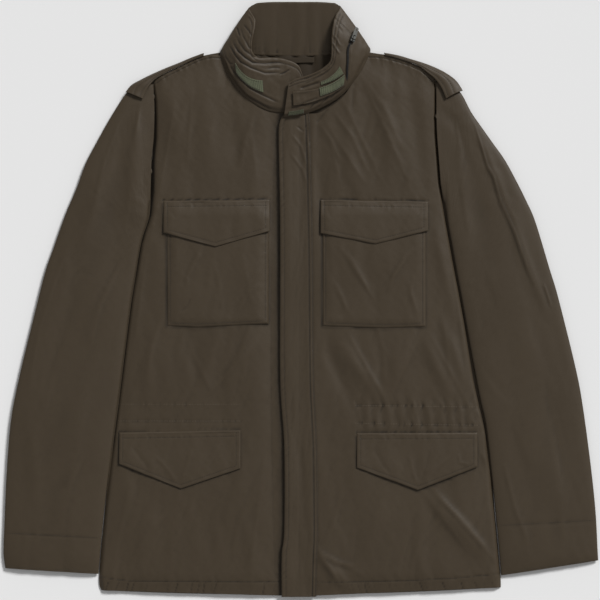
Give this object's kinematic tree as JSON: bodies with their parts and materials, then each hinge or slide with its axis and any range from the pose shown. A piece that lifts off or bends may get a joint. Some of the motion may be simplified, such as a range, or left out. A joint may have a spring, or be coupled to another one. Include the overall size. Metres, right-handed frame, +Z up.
{
  "type": "windbreaker",
  "caption": "Hip-length field windbreaker laid flat, with a stand collar, bellows chest pockets, pointed flaps, shoulder straps and a placket over its front.",
  "frame": {"origin": "centre of the footprint, on the surface that the jacket lies on", "axes": "+Z up from the surface, +Y from the hem to the collar, +X to the wearer's left"},
  "size_m": [0.8315, 0.8306, 0.0278],
  "materials": {
    "shell_cloth": "dark olive-brown woven nylon, matt with a faint sheen",
    "lining_cloth": "darker plain cloth",
    "fastener_green": "grey-green touch fastener, matt pile",
    "zip_tape": "black woven tape with coil",
    "zip_metal": "grey metal"
  },
  "bodies": {
    "jacket": {"back": "shell_cloth", "front_right": "shell_cloth", "front_left": "shell_cloth", "placket": "shell_cloth", "collar": "shell_cloth", "sleeve_right": "shell_cloth", "sleeve_left": "shell_cloth", "epaulette_right": "shell_cloth", "epaulette_left": "shell_cloth", "chest_pocket_right": "shell_cloth", "chest_pocket_left": "shell_cloth", "chest_flap_right": "shell_cloth", "chest_flap_left": "shell_cloth", "hip_flap_right": "shell_cloth", "hip_flap_left": "shell_cloth", "collar_tab": "shell_cloth", "hanger_loop": "shell_cloth", "neck_facing": "lining_cloth", "tab_hook_pad": "fastener_green", "collar_pad_right": "fastener_green", "collar_pad_left": "fastener_green", "placket_pad": "fastener_green", "hood_zip": "zip_tape", "zip_slider": "zip_metal"},
    "pull_tab": {"zip_pull": "zip_metal"}
  },
  "joints": [
    {"name": "pull_swing", "type": "hinge", "parent": "jacket", "child": "pull_tab", "pos_m": [0.07458, 0.3639, 0.02511], "axis": [0.8879, -0.3528, -0.2952], "range_deg": [0, 150]}
  ]
}
